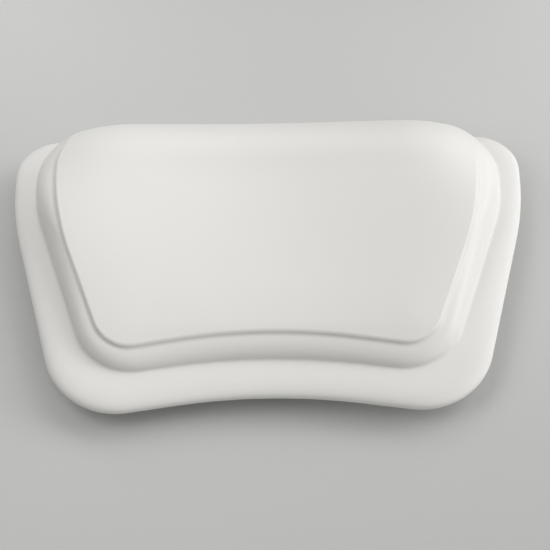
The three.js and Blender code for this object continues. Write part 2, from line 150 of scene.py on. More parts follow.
def newMaterial(name):
    material = bpy.data.materials.new(name)
    material.use_nodes = True
    wire = Wire(material.node_tree)
    coords = wire.add("ShaderNodeTexCoord", None, None, "Object")
    return material, wire, material.node_tree.nodes["Principled BSDF"], coords


def noiseOn(wire, coords, scale, detail):
    return wire.add("ShaderNodeTexNoise", None, {"Vector": coords, "Scale": scale, "Detail": detail}, "Fac")


def cellsOn(wire, coords, size, feature="F1"):
    sockets = {"Vector": coords, "Scale": 1 / size}
    return wire.add("ShaderNodeTexVoronoi", {"feature": feature}, sockets, "Distance")


def mixColours(wire, share, first, second):
    sockets = {"Factor": share, "A": (*first, 1) if isinstance(first, tuple) else first,
               "B": (*second, 1) if isinstance(second, tuple) else second}
    return wire.add("ShaderNodeMix", {"data_type": "RGBA"}, sockets, "Result")


def dress(wire, surface, colour, roughness, height, bump):
    strength, depth = bump
    sockets = {"Height": height, "Strength": strength, "Distance": depth}
    wire.put(surface.inputs["Base Color"], colour)
    wire.put(surface.inputs["Roughness"], roughness)
    wire.put(surface.inputs["Normal"], wire.add("ShaderNodeBump", None, sockets, "Normal"))


# noises are given as a scale and a detail, and bumps as a strength and a depth
floorFinish = {"colour": linear(0.80, 0.80, 0.795), "roughness": 0.75, "size": 8.0, "sides": 96,
               "speckle": (220, 3), "speckleShade": 0.985}
backdrop = {"pale": 0.58, "skyStrength": 0.01, "fadeStart": 0.26, "fadeEnd": 0.6}


def seenRays(wire):
    # 1 for rays that look, are reflected or go through, and 0 for those that light the object
    camera, glossy, through = (wire.add("ShaderNodeLightPath", None, None, f"Is {kind} Ray")
                               for kind in ("Camera", "Glossy", "Transmission"))
    return wire.sum("MINIMUM", camera + glossy + through, 1)


def addSky():
    world = bpy.data.worlds.new("studio")
    scene.world = world
    world.use_nodes = True
    wire = Wire(world.node_tree)
    background = world.node_tree.nodes["Background"]
    background.inputs["Color"].default_value = (1, 1, 1, 1)
    strength = backdrop["skyStrength"] + seenRays(wire) * (backdrop["pale"] - backdrop["skyStrength"])
    wire.put(background.inputs["Strength"], strength)


def addFloor():
    bm = bmesh.new()
    bmesh.ops.create_circle(bm, cap_ends=True, radius=floorFinish["size"] / 2, segments=floorFinish["sides"])
    material, wire, surface, coords = newMaterial("paleFloor")
    speckle = noiseOn(wire, coords, *floorFinish["speckle"])
    dark = tuple(v * floorFinish["speckleShade"] for v in floorFinish["colour"])
    wire.put(surface.inputs["Base Color"], mixColours(wire, speckle, dark, floorFinish["colour"]))
    surface.inputs["Roughness"].default_value = floorFinish["roughness"]
    # far from the pillow the floor runs into the backdrop
    away = wire.add("ShaderNodeVectorMath", {"operation": "LENGTH"}, {0: coords}, "Value")
    fade = {"Value": away, "From Min": backdrop["fadeStart"], "From Max": backdrop["fadeEnd"]}
    far = wire.add("ShaderNodeMapRange", {"interpolation_type": "SMOOTHSTEP"}, fade, "Result")
    glow = wire.add("ShaderNodeEmission", None, {"Color": (1, 1, 1, 1), "Strength": backdrop["pale"]})
    near = Wire(wire.tree, surface.outputs[0])
    mixed = wire.add("ShaderNodeMixShader", None, {0: far * seenRays(wire), 1: near, 2: glow})
    wire.put(wire.tree.nodes["Material Output"].inputs["Surface"], mixed)
    floor = finishedPiece("floor", bm, material)


# pieces

def finishedPiece(name, bm, material, sharpAngle=None):
    mesh = bpy.data.meshes.new(name)
    for facet in bm.faces:
        facet.smooth = True
    bm.to_mesh(mesh)
    bm.free()
    if sharpAngle:
        mesh.set_sharp_from_angle(angle=math.radians(sharpAngle))
    mesh.materials.append(material)
    piece = bpy.data.objects.new(name, mesh)
    scene.collection.objects.link(piece)
    return piece


def standsFor(piece, node, body):
    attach(piece, body)
    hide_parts(node)


def roundOff(bm, geom, offset, affect):
    bmesh.ops.bevel(bm, geom=geom, offset=offset * mm, offset_type="OFFSET", segments=3, profile=0.5,
                    affect=affect, material=-1, clamp_overlap=True)


# pillow skin: flange, shoulder, step and face in one moulding

flange = {"width": 320, "height": 191.4, "thickness": 9.5, "topRadius": 26.5, "sideDrop": 55.1,
          "sideRadius": 180, "taper": 14.6, "bottomRadius": 44.8, "archHeight": 12.2, "archSlope": 8.35,
          "archRadius": 379, "backRound": 4, "lip": 4, "frontDrop": 5.5, "frontWidth": 16,
          "frontFullness": 0.6}
pad = {"sideMargin": 15.8, "bottomMargin": 22.3, "topMargin": 1.5, "overshoot": 11.8, "topSoftness": 3.3,
       "topRadius": 47.7, "sideDrop": 55.6, "sideRadius": 80, "taper": 18.7, "bottomRadius": 35.9,
       "riseBottom": 10, "riseTop": 43.3, "footRound": 0.6, "sideFootRound": 3.0, "footShare": 0.4,
       "softFrom": (-0.95, -0.4), "softTo": (0.1, 0.7)}
face = {"shoulder": 10.9, "sideShoulder": 14.9, "sideDrop": 73.2, "taper": 20.5, "topRadius": 42.7,
        "sideRadius": 160, "bottomRadius": 23.2, "fullness": 3.0, "topFullness": 1.87, "facingUp": (0.0, 0.7),
        "step": 2.2, "stepWidth": 2.1, "stepFade": (42.8, 78.8), "crown": 1.8, "crownWidth": 30,
        "rollWidth": 37.3, "rollDepth": 35.4, "cornerStart": 80.9, "cornerDrop": 0.86, "dishDepth": 8.5,
        "dishHalfWidth": 132, "dishRunIn": 100, "dishRunOut": 50, "dishAtTop": 0.23}
# the foot and shoulder shade values place painted shade at the shoulder's foot
skin = {"thickness": 2, "gap": 0.3, "grainFade": (0.93, 1), "footPaintedShade": (0.9, 1), "shoulderPaintedShade": 4,
        "leastRadius": 1, "edgeShare": 0.98}
topY = flange["height"] / 2
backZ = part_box("back_skin")[0].z / mm
padHalfWidth = flange["width"] / 2 - pad["sideMargin"]
padTop = topY + pad["overshoot"]
padTopY = topY - pad["topMargin"]
padBottomY = -topY + flange["archHeight"] + pad["bottomMargin"]
padMiddle = Vector((0, (padBottomY + padTopY) / 2))
# steps round each corner, and along the edge after it, anticlockwise from the top right corner
cornerSteps = (30, 30, 14, 26, 24, 26, 14)
edgeSteps = (36, 10, 16, 18, 18, 16, 10)
roundCount = sum(cornerSteps) + sum(edgeSteps)
# rings in each stretch of the surface, closer from footStart on, and those that the skin's inside follows
ringSteps = {"lip": 3, "backRound": 7, "flange": 18, "flangeLast": 14, "foot": 10, "footStart": 0.66,
             "shoulder": 18, "step": 9, "crown": 14, "middle": 16}
insideRings = {"flange": 11, "beforeFoot": 3, "shoulder": (4, 9, 14), "crown": (3, 8, 13), "middleEvery": 4}


def clamped(value, low=0, high=1):
    return min(max(value, low), high)


def smoothstep(low, high, value):
    t = clamped((value - low) / (high - low))
    return t * t * (3 - 2 * t)


def spread(count, start=0.0, end=1.0):
    return [start + (end - start) * k / count for k in range(count + 1)]


def outlineCorners(halfWidth, top, sideDrop, taper, archY, radii):
    t, s = math.tan(math.radians(taper)), math.tan(math.radians(flange["archSlope"]))
    bendY = top - sideDrop
    x = (halfWidth - (bendY - archY) * t) / (1 + s * t)
    right = [((halfWidth, top), radii[0]), ((halfWidth, bendY), radii[1]), ((x, archY - x * s), radii[2])]
    left = [((-at[0], at[1]), radius) for at, radius in right]
    ring = [right[0], left[0], left[1], left[2], ((0, archY), radii[3]), right[2], right[1]]
    return [(Vector(at), radius) for at, radius in ring]


def cross(a, b):
    return a.x * b.y - a.y * b.x


def insetCorners(corners, distance):
    count = len(corners)
    edges = []
    for i, (at, _) in enumerate(corners):
        along = (corners[(i + 1) % count][0] - at).normalized()
        edges.append((at + Vector((-along.y, along.x)) * distance, along))
    moved = []
    for i, (_, radius) in enumerate(corners):
        before, after = edges[i - 1], edges[i]
        turn = cross(before[1], after[1])
        reach = cross(after[0] - before[0], after[1]) / turn
        inset = radius + (-distance if turn > 0 else distance)
        moved.append((before[0] + before[1] * reach, max(inset, skin["leastRadius"])))
    return moved


def sampleOutline(corners):
    count = len(corners)
    wanted = []
    for i, (at, radius) in enumerate(corners):
        toBefore = (corners[i - 1][0] - at).normalized()
        toAfter = (corners[(i + 1) % count][0] - at).normalized()
        half = math.acos(clamped(toBefore.dot(toAfter), -1, 1)) / 2
        wanted.append((at, toBefore, toAfter, half, radius / math.tan(half)))
    # a rounding never takes more of an edge than the edge has
    shares = []
    for i, (at, *_, reach) in enumerate(wanted):
        following = wanted[(i + 1) % count]
        shares.append(min(1, skin["edgeShare"] * (at - following[0]).length / (reach + following[-1])))
    arcs = []
    for i, (at, toBefore, toAfter, half, reach) in enumerate(wanted):
        kept = reach * min(shares[i], shares[i - 1])
        centre = at + (toBefore + toAfter).normalized() * (kept / math.cos(half))
        start, end = at + toBefore * kept - centre, at + toAfter * kept - centre
        arcs.append((centre, start, math.atan2(cross(start, end), start.dot(end))))

    def onArc(i, share):
        centre, start, sweep = arcs[i % count]
        c, s = math.cos(sweep * share), math.sin(sweep * share)
        return centre + Vector((start.x * c - start.y * s, start.x * s + start.y * c))

    points = []
    for i in range(count):
        points += [onArc(i, k / cornerSteps[i]) for k in range(cornerSteps[i])]
        points += [onArc(i, 1).lerp(onArc(i + 1, 0), k / edgeSteps[i]) for k in range(edgeSteps[i])]
    return points


def underTop(points, limit):
    # keeps an outline below the flange's top edge by a smooth limit
    soft = pad["topSoftness"]
    return [Vector((p.x, p.y - (p.y - limit + math.hypot(p.y - limit, soft)) / 2 + soft / 4)) for p in points]


flangeCorners = outlineCorners(
    flange["width"] / 2, topY, flange["sideDrop"], flange["taper"], -topY + flange["archHeight"],
    (flange["topRadius"], flange["sideRadius"], flange["bottomRadius"], flange["archRadius"]))
padCorners = outlineCorners(
    padHalfWidth, padTop, pad["sideDrop"] + pad["overshoot"], pad["taper"], padBottomY,
    (pad["topRadius"], pad["sideRadius"], pad["bottomRadius"], flange["archRadius"] + pad["bottomMargin"]))
faceCorners = outlineCorners(
    padHalfWidth - face["sideShoulder"], padTop - face["shoulder"],
    face["sideDrop"] + pad["overshoot"] - face["shoulder"], face["taper"], padBottomY + face["shoulder"],
    (face["topRadius"], face["sideRadius"], face["bottomRadius"], flange["archRadius"]))


def flangeOutline(inset):
    return sampleOutline(insetCorners(flangeCorners, inset))


def padOutline(inset):
    return underTop(sampleOutline(insetCorners(padCorners, inset)), padTopY - inset)


def faceOutline(inset):
    return underTop(sampleOutline(insetCorners(faceCorners, inset)), padTopY - face["shoulder"] - inset)


def distanceIn(p, i, edge, reach=45):
    # how far a point is in from the flange's edge, sought near the point's own place in the ring
    nearest = math.inf
    for k in range(i - reach, i + reach):
        a, b = edge[k % roundCount], edge[(k + 1) % roundCount]
        share = clamped((p - a).dot(b - a) / (b - a).length_squared)
        nearest = min(nearest, (a.lerp(b, share) - p).length)
    return nearest


def flangeFace(inset, margin):
    # a quarter round from the edge to the full thickness, fuller where the flange is wide
    out = 1 - min(inset / flange["frontWidth"], 1)
    power = 2 + flange["frontFullness"] * smoothstep(0, flange["frontWidth"], margin)
    return flange["thickness"] - flange["frontDrop"] * (1 - (1 - out ** power) ** (1 / power))


def padFace(p):
    # a wedge, dished for the head, that rolls back along its top edge and at its top corners
    climb = (pad["riseTop"] - pad["riseBottom"]) * (p.y - padBottomY) / (padTopY - padBottomY)
    wedge = pad["riseBottom"] + climb
    roll = clamped((p.y - padTopY + face["rollWidth"]) / face["rollWidth"])
    wedge -= face["rollDepth"] * (1 - math.sqrt(1 - roll * roll))
    corner = max((abs(p.x) - face["cornerStart"]) / (padHalfWidth - face["cornerStart"]), 0)
    wedge *= 1 - face["cornerDrop"] * corner ** 2 * smoothstep(0, padTopY, p.y) ** 2
    across = (1 + math.cos(math.pi * min(abs(p.x) / face["dishHalfWidth"], 1))) / 2
    low = padBottomY + face["shoulder"]
    along = 1 - (1 - clamped((p.y - low) / face["dishRunIn"])) ** 2
    along *= 1 - (1 - face["dishAtTop"]) * smoothstep(padTopY - face["dishRunOut"], padTopY, p.y)
    dish = face["dishDepth"] * across * along
    return flange["thickness"] + wedge + face["step"] + face["crown"] - dish


def stepAt(p):
    # the step that makes the crease, which fades out towards the top
    return face["step"] * (1 - smoothstep(*face["stepFade"], p.y))


def shoulderTop(p, away, crease):
    # where the shoulder ends, on the face's slope drawn on past the crease
    return padFace(p) - face["crown"] * away ** 2 - stepAt(crease)


def fullnessAt(before, after):
    up = smoothstep(*face["facingUp"], -(after - before).normalized().x)
    return face["fullness"] + (face["topFullness"] - face["fullness"]) * up


def footRoundAt(before, after):
    # tight along the bottom and the top, and softer along the sides
    facing = -(after - before).normalized().x
    soft = smoothstep(*pad["softFrom"], facing) * (1 - smoothstep(*pad["softTo"], facing))
    return pad["footRound"] + (pad["sideFootRound"] - pad["footRound"]) * soft


def shoulderPoint(foot, crease, base, fullness, angle):
    # a rounded rise from the foot, which runs on in the face's slope at the crease
    power = 2 / fullness
    out = max(math.cos(angle), 0) ** power
    p = crease.lerp(foot, out)
    full = shoulderTop(p, 1 + (foot - crease).length * out / face["crownWidth"], crease)
    return Vector((p.x, p.y, backZ + base + (full - base) * math.sin(angle) ** power))


def pillowRings():
    # rings from the lip on the back, over the edge, to the middle of the face
    # each has its grain, its painted shade at each point (darker at the shoulder's foot and on the crease
    # step), and whether the inside of the skin follows it
    rings = []

    def add(points, grain, paintedShade, inner=False):
        rings.append((points, grain, paintedShade if isinstance(paintedShade, list) else [paintedShade] * roundCount, inner))

    back = flange["backRound"]
    for share in spread(ringSteps["lip"]):
        outline = flangeOutline(back + flange["lip"] * (1 - share))
        add([Vector((p.x, p.y, backZ)) for p in outline], 1.0, 0.0, share in (0, 1))
    angles = spread(ringSteps["backRound"], 0, math.pi / 2)[1:]
    for k, angle in enumerate(angles):
        outline = flangeOutline(back * (1 - math.sin(angle)))
        z = backZ + back * (1 - math.cos(angle))
        add([Vector((p.x, p.y, z)) for p in outline], 1.0, 0.0, k == len(angles) - 1)

    edge, foot, crease = flangeOutline(0), padOutline(0), faceOutline(0)
    runs = [(a - b).length for a, b in zip(edge, foot)]
    margins = [distanceIn(p, i, edge) for i, p in enumerate(foot)]
    around = [(foot[i - 1], foot[(i + 1) % roundCount]) for i in range(roundCount)]
    rounds = [min(footRoundAt(*pair), pad["footShare"] * margin) for pair, margin in zip(around, margins)]
    fullness = [fullnessAt(*pair) for pair in around]
    shares = [s * s for s in spread(ringSteps["flange"])[1:ringSteps["flangeLast"] + 1]]
    shares += spread(ringSteps["foot"], ringSteps["footStart"], 1.0)[1:]
    kept = (insideRings["flange"], len(shares) - insideRings["beforeFoot"], len(shares) - 1)
    for k, share in enumerate(shares):
        ring = []
        for i, (run, margin, footRound) in enumerate(zip(runs, margins, rounds)):
            p = edge[i].lerp(foot[i], share)
            left = max(footRound - run * (1 - share), 0)
            lift = footRound - math.sqrt(footRound ** 2 - left ** 2)
            ring.append(Vector((p.x, p.y, backZ + flangeFace(distanceIn(p, i, edge), margin) + lift)))
        # painted shade: the flange's last rings before the foot get a darker skin colour
        grain, paintedShade = 1 - smoothstep(*skin["grainFade"], share), smoothstep(*skin["footPaintedShade"], share)
        add(ring, grain, paintedShade, k in kept)

    # the shoulder starts as high as the round at its foot ends
    firsts, bases = [], [flangeFace(margin, margin) for margin in margins]
    for i, p in enumerate(foot):
        rise = shoulderTop(p, 1 + (p - crease[i]).length / face["crownWidth"], crease[i]) - bases[i]
        firsts.append(math.asin(min((rounds[i] / rise) ** (fullness[i] / 2), 1)))
    # painted shade on the lowest quarter of the shoulder, darkest at its foot
    for k, turn in enumerate(spread(ringSteps["shoulder"])[1:]):
        angles = [first + (math.pi / 2 - first) * turn for first in firsts]
        points = [shoulderPoint(*sizes) for sizes in zip(foot, crease, bases, fullness, angles)]
        add(points, 0.0, max(1 - turn * skin["shoulderPaintedShade"], 0), k in insideRings["shoulder"])

    def faceLevel(points, below, paintedShade=0.0, inner=False):
        add([Vector((p.x, p.y, backZ + padFace(p) - b)) for p, b in zip(points, below)], 0.0, paintedShade, inner)

    # painted shade on the crease step's wall, fading out where the step fades
    for angle in spread(ringSteps["step"], 0, math.pi / 2)[1:]:
        low = 1 - math.sin(angle)
        points = faceOutline(face["stepWidth"] * (1 - math.cos(angle)))
        below = [face["crown"] + stepAt(p) * low for p in crease]
        faceLevel(points, below, [low * stepAt(p) / face["step"] for p in crease])
    for k, share in enumerate(spread(ringSteps["crown"])[1:]):
        points = faceOutline(face["stepWidth"] + face["crownWidth"] * share)
        below = [face["crown"] * (1 - share) ** 2] * roundCount
        faceLevel(points, below, inner=k in insideRings["crown"])
    last = faceOutline(face["stepWidth"] + face["crownWidth"])
    for k, share in enumerate(spread(ringSteps["middle"], 1, 0)[1:]):
        points = [padMiddle + (p - padMiddle) * share for p in last]
        faceLevel(points, [0] * roundCount, inner=(k + 1) % insideRings["middleEvery"] == 0)
    return rings


def movedIn(rings, distance, turnedOver=-0.5):
    # the rings that the inside follows, moved square to the bands on both sides of them
    moved = []
    for k, (points, _, _, inner) in enumerate(rings):
        ring = []
        for i, p in enumerate(points if inner else []):
            flat = p.z < backZ + tiny
            if flat or k == len(rings) - 1:
                ring.append(p + Vector((0, 0, distance if flat else -distance)))
                continue
            around = points[(i + 1) % roundCount] - points[i - 1]
            bands = [p - rings[k - 1][0][i], rings[k + 1][0][i] - p]
            bands = [around.cross(band).normalized() for band in bands]
            # thin slivers at the top corners can face down
            before, after = [-band if band.z < turnedOver else band for band in bands]
            normal = (before + after).normalized()
            ring.append(p - normal * (distance / normal.dot(before)))
        if inner:
            moved.append((ring, 0.0, [0.0] * roundCount, True))
    return moved


def loftGrid(rings):
    # a grid whose rows are laid on the rings, then sewn along its seam and poles
    bm = bmesh.new()
    rows = len(rings) - 1
    bmesh.ops.create_grid(bm, x_segments=roundCount, y_segments=rows, size=0.5)
    grainLayer = bm.verts.layers.float.new("grain")
    # this layer carries painted shade at the crease and the shoulder's foot
    paintedShadeLayer = bm.verts.layers.float.new("crease")
    for vert in bm.verts:
        i, k = round((vert.co.x + 0.5) * roundCount), round((vert.co.y + 0.5) * rows)
        points, vert[grainLayer], paintedShade, _ = rings[k]
        vert.co = points[i % roundCount] * mm
        vert[paintedShadeLayer] = paintedShade[i % roundCount]
    bmesh.ops.remove_doubles(bm, verts=bm.verts, dist=tiny)
    bmesh.ops.recalc_face_normals(bm, faces=bm.faces)
    return bm


# the grey and its share below are painted shade for the crease and the shoulder's foot
skinFinish = {"colour": linear(0.912, 0.908, 0.894), "worn": linear(0.90, 0.893, 0.876),
              "paintedShade": linear(0.80, 0.79, 0.765), "paintedShadeShare": 0.15, "blotches": (16, 3), "blotchWear": 0.6,
              "pores": (900, 2), "poreWear": 0.2, "roughness": 0.4, "grainRough": 0.1, "poreRough": 0.06,
              "blotchRough": 0.04, "grainSize": 1.3 * mm, "padPores": 0.1, "grainPores": 0.15,
              "bump": (0.6, 0.05 * mm)}


def satinSkin():
    # smooth on the pad and finely pebbled on the flange, with painted shade in the crease and at the pad's
    # foot
    material, wire, surface, coords = newMaterial("satinSkin")
    look = skinFinish
    grain = wire.add("ShaderNodeAttribute", {"attribute_name": "grain"}, None, "Fac")
    # the crease layer is painted shade, set on the rings
    crease = wire.add("ShaderNodeAttribute", {"attribute_name": "crease"}, None, "Fac")
    blotches = noiseOn(wire, coords, *look["blotches"])
    pores = noiseOn(wire, coords, *look["pores"])
    pebbles = cellsOn(wire, coords, look["grainSize"], "SMOOTH_F1")
    wear = blotches * look["blotchWear"] + pores * look["poreWear"]
    colour = mixColours(wire, wear, look["colour"], look["worn"])
    # painted shade: the colour turns greyer in the crease and at the shoulder's foot, where shade falls
    colour = mixColours(wire, crease * look["paintedShadeShare"], colour, look["paintedShade"])
    roughness = look["roughness"] + grain * look["grainRough"] + pores * look["poreRough"]
    roughness = roughness + blotches * look["blotchRough"]
    height = pebbles * grain + pores * (look["padPores"] + grain * look["grainPores"])
    dress(wire, surface, colour, roughness, height, look["bump"])
    return material


def makeSkin(outer):
    inner = movedIn(outer, skin["thickness"])
    piece = finishedPiece("pillowSkin", loftGrid(inner[::-1] + outer), satinSkin())
    standsFor(piece, "front_skin", "pillow")


# flat pieces with round holes

def plateBm(outline, holes, low, high, holeSides=64):
    bm = bmesh.new()
    rim = bmesh.ops.create_circle(bm, cap_ends=False, radius=1, segments=len(outline))["verts"]
    for vert, p in zip(rim, outline):
        vert.co = Vector((p.x, p.y, low)) * mm
    for x, y, radius in holes:
        place = Matrix.Translation(Vector((x, y, low)) * mm)
        bmesh.ops.create_circle(bm, cap_ends=False, radius=radius * mm, segments=holeSides, matrix=place)
    bmesh.ops.triangle_fill(bm, use_beauty=True, edges=bm.edges)
    top = bmesh.ops.extrude_face_region(bm, geom=bm.faces[:])["geom"]
    upper = [v for v in top if isinstance(v, bmesh.types.BMVert)]
    bmesh.ops.translate(bm, vec=(0, 0, (high - low) * mm), verts=upper)
    bmesh.ops.recalc_face_normals(bm, faces=bm.faces)
    return bm


def middleOf(node):
    low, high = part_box(node)
    return (low.x + high.x) / 2 / mm, (low.y + high.y) / 2 / mm


seat = {"flangeRadius": 14, "barrelRadius": 7.5, "bead": 1.1, "beadLength": 2.4, "boreRadius": 5,
        "boreDepth": 13.5, "endWall": 2.5, "gap": 0.3, "round": 0.35, "sides": 96, "sharpAngle": 35}
insert = {"margin": 20, "thickness": 3, "lockRadius": 9, "lockSpacing": 62}
places = ("upper_left", "upper_right", "lower_left", "lower_right")
seatMiddles = {place: middleOf("seat_" + place) for place in places}
lockY = (seatMiddles["upper_left"][1] + seatMiddles["lower_left"][1]) / 2


foam = {"sharpAngle": 40, "cutBelow": 1, "pocketSides": 64}
foamFinish = {"colour": linear(0.91, 0.885, 0.81), "pore": linear(0.76, 0.72, 0.62), "poreSize": 1.1 * mm,
              "poreTint": 0.8, "bigPoreSize": 11 / 3 * mm, "bigPoreDepth": 0.5, "cloud": (30, 3),
              "cloudTint": 0.2, "roughness": 0.88, "cloudRough": 0.1, "bump": (0.8, 0.5 * mm)}


def openFoam():
    material, wire, surface, coords = newMaterial("openFoam")
    look = foamFinish
    pores = cellsOn(wire, coords, look["poreSize"])
    bigPores = cellsOn(wire, coords, look["bigPoreSize"])
    cloud = noiseOn(wire, coords, *look["cloud"])
    tint = pores * look["poreTint"] + cloud * look["cloudTint"]
    colour = mixColours(wire, tint, look["pore"], look["colour"])
    roughness = look["roughness"] + cloud * look["cloudRough"]
    height = pores + bigPores * look["bigPoreDepth"]
    dress(wire, surface, colour, roughness, height, look["bump"])
    return material


def cutAway(piece, cutters):
    for cutter in cutters:
        cut = piece.modifiers.new("cut", "BOOLEAN")
        cut.operation, cut.solver, cut.object = "DIFFERENCE", "EXACT", cutter
    shaped = piece.evaluated_get(bpy.context.evaluated_depsgraph_get())
    piece.data = bpy.data.meshes.new_from_object(shaped)
    piece.modifiers.clear()
    for cutter in cutters:
        bpy.data.objects.remove(cutter)


def makeFoam(outer):
    # the same rings further in, over a flat floor, cut for the plate and its seats
    rings = movedIn(outer, skin["thickness"] + skin["gap"])[1:]
    floorZ = backZ + skin["thickness"] + skin["gap"]
    middle = ([Vector((0, 0, floorZ))] * roundCount, 0.0, [0.0] * roundCount, True)
    material = openFoam()
    piece = finishedPiece("foamCore", loftGrid([middle] + rings), material)
    gap = seat["gap"]
    posts = [(k * insert["lockSpacing"], lockY, insert["lockRadius"] - gap) for k in (-1, 0, 1)]
    roof = floorZ + insert["thickness"] + gap
    pocketBm = plateBm(padOutline(insert["margin"] - gap), posts, floorZ - foam["cutBelow"], roof)
    barrels = bmesh.new()
    radius = seat["barrelRadius"] + seat["bead"] + gap
    top = backZ + seat["boreDepth"] + seat["endWall"] + gap
    for x, y in seatMiddles.values():
        place = Matrix.Translation(Vector((x, y, (top + floorZ) / 2)) * mm)
        bmesh.ops.create_cone(barrels, cap_ends=True, segments=foam["pocketSides"], radius1=radius * mm,
                              radius2=radius * mm, depth=(top - floorZ) * mm, matrix=place)
    cutAway(piece, [finishedPiece("platePocket", pocketBm, material),
                    finishedPiece("seatPockets", barrels, material)])
    piece.data.set_sharp_from_angle(angle=math.radians(foam["sharpAngle"]))
    standsFor(piece, "foam_core", "pillow")


backPanel = {"round": 0.4, "sharpAngle": 30}
backFinish = {"colour": linear(0.875, 0.868, 0.85), "dark": linear(0.845, 0.837, 0.818),
              "grainSize": 1.6 * mm, "cloud": (25, 4), "fine": (1500, 2), "fineDepth": 0.3,
              "roughness": 0.58, "fineRough": 0.12, "bump": (0.7, 0.12 * mm)}


def mattBacking():
    material, wire, surface, coords = newMaterial("mattBacking")
    look = backFinish
    pebbles = cellsOn(wire, coords, look["grainSize"], "SMOOTH_F1")
    cloud = noiseOn(wire, coords, *look["cloud"])
    fine = noiseOn(wire, coords, *look["fine"])
    colour = mixColours(wire, cloud, look["dark"], look["colour"])
    roughness = look["roughness"] + fine * look["fineRough"]
    dress(wire, surface, colour, roughness, pebbles + fine * look["fineDepth"], look["bump"])
    return material


def roundedEdges(bm, z, offset, leastAngle=1):
    # rounds the edges that lie at one height between a flat face and a wall
    level = [e for e in bm.edges if all(abs(v.co.z - z * mm) < tiny for v in e.verts)]
    roundOff(bm, [e for e in level if e.calc_face_angle(0) > leastAngle], offset, "EDGES")


def makeBack():
    holes = [(x, y, seat["flangeRadius"] + seat["gap"]) for x, y in seatMiddles.values()]
    outline = flangeOutline(flange["backRound"] + flange["lip"] + seat["gap"])
    bm = plateBm(outline, holes, backZ, backZ + skin["thickness"])
    roundedEdges(bm, backZ, backPanel["round"])
    piece = finishedPiece("backPanel", bm, mattBacking(), backPanel["sharpAngle"])
    standsFor(piece, "back_skin", "pillow")


# plate, seats, stems and cups

plasticFinish = {"cloud": (60, 3), "cloudTint": 0.8, "cloudRough": 0.05, "fine": (2600, 2), "fineTint": 0.2,
                 "fineRough": 0.1, "bump": (0.35, 0.04 * mm)}
plateFinish = {"colour": linear(0.25, 0.255, 0.27), "dark": linear(0.21, 0.215, 0.23),
               "roughness": 0.5, "coat": 0.0}
seatFinish = {"colour": linear(0.955, 0.95, 0.935), "dark": linear(0.93, 0.925, 0.91),
              "roughness": 0.38, "coat": 0.1}
stemFinish = {"colour": linear(0.965, 0.955, 0.945), "dark": linear(0.94, 0.935, 0.92),
              "roughness": 0.3, "coat": 0.2}


def mouldedPlastic(name, colour, dark, roughness, coat):
    material, wire, surface, coords = newMaterial(name)
    look = plasticFinish
    cloud = noiseOn(wire, coords, *look["cloud"])
    fine = noiseOn(wire, coords, *look["fine"])
    tint = mixColours(wire, cloud * look["cloudTint"] + fine * look["fineTint"], dark, colour)
    roughness = roughness + fine * look["fineRough"] - cloud * look["cloudRough"]
    dress(wire, surface, tint, roughness, fine, look["bump"])
    surface.inputs["Coat Weight"].default_value = coat
    return material


def turnedBm(profile, rounded, offset, sides):
    # a profile of radius and height, its corners rounded, spun round an upright axis
    bm = bmesh.new()
    corners = [bm.verts.new((radius * mm, 0, height * mm)) for radius, height in profile]
    for pair in zip(corners, corners[1:]):
        bm.edges.new(pair)
    roundOff(bm, [corners[k] for k in rounded], offset, "VERTICES")
    bmesh.ops.spin(bm, geom=bm.verts[:] + bm.edges[:], cent=(0, 0, 0), axis=(0, 0, 1), dvec=(0, 0, 0),
                   angle=2 * math.pi, steps=sides, use_merge=True, use_duplicate=False)
    bmesh.ops.remove_doubles(bm, verts=bm.verts, dist=tiny)
    bmesh.ops.recalc_face_normals(bm, faces=bm.faces)
    return bm


def placed(bm, place):
    x, y = seatMiddles[place]
    bmesh.ops.translate(bm, vec=Vector((x, y, backZ)) * mm, verts=bm.verts)
    return bm


def makeSeat(place, material):
    barrel, wide, bore, depth = (seat[k] for k in ("barrelRadius", "flangeRadius", "boreRadius", "boreDepth"))
    flangeTop = skin["thickness"]
    beadLow = flangeTop + insert["thickness"] + 2 * seat["gap"]
    top = depth + seat["endWall"]
    profile = [(0, depth), (bore, depth), (bore, 0), (wide, 0), (wide, flangeTop), (barrel, flangeTop),
               (barrel, beadLow), (barrel + seat["bead"], beadLow), (barrel, beadLow + seat["beadLength"]),
               (barrel, top), (0, top)]
    rounded = (2, 3, 4, 7, 9)  # the bore's mouth, the flange, the bead and the end
    bm = placed(turnedBm(profile, rounded, seat["round"], seat["sides"]), place)
    piece = finishedPiece("seat." + place, bm, material, seat["sharpAngle"])
    standsFor(piece, "seat_" + place, "pillow")


stem = {"length": 11.5, "ribDepth": 0.5, "ribs": 3, "ribSteps": (0.5, 0.9, 1.3), "collarRadius": 8,
        "collarThickness": 1.6, "neckRadius": 3.2, "buttonRadius": 6, "buttonThickness": 2, "round": 0.25,
        "sides": 64, "sharpAngle": 35}
cup = {"radius": 23, "bossRadius": 9.5, "roof": 1.6, "rimWidth": 3.5, "rimThickness": 0.9, "bell": 2.1,
       "round": 0.22, "sides": 96, "sharpAngle": 40, "domeSteps": 20, "bellSteps": 16, "tabWidth": 9,
       "tabReach": 8, "tabThickness": 1.5, "tabClearance": 0.5, "tabSteps": 6, "tabEnd": 1.48,
       "wallFacing": 0.9, "wallNear": 0.1}
collarTop = -seat["gap"]
collarLow = collarTop - stem["collarThickness"]
bossTop = collarLow - seat["gap"]
pocketTop = bossTop - cup["roof"]
buttonTop = pocketTop - seat["gap"]
buttonLow = buttonTop - stem["buttonThickness"]
pocketLow = buttonLow - seat["gap"]
domeTop = pocketLow - cup["roof"]
rimLow = -backZ


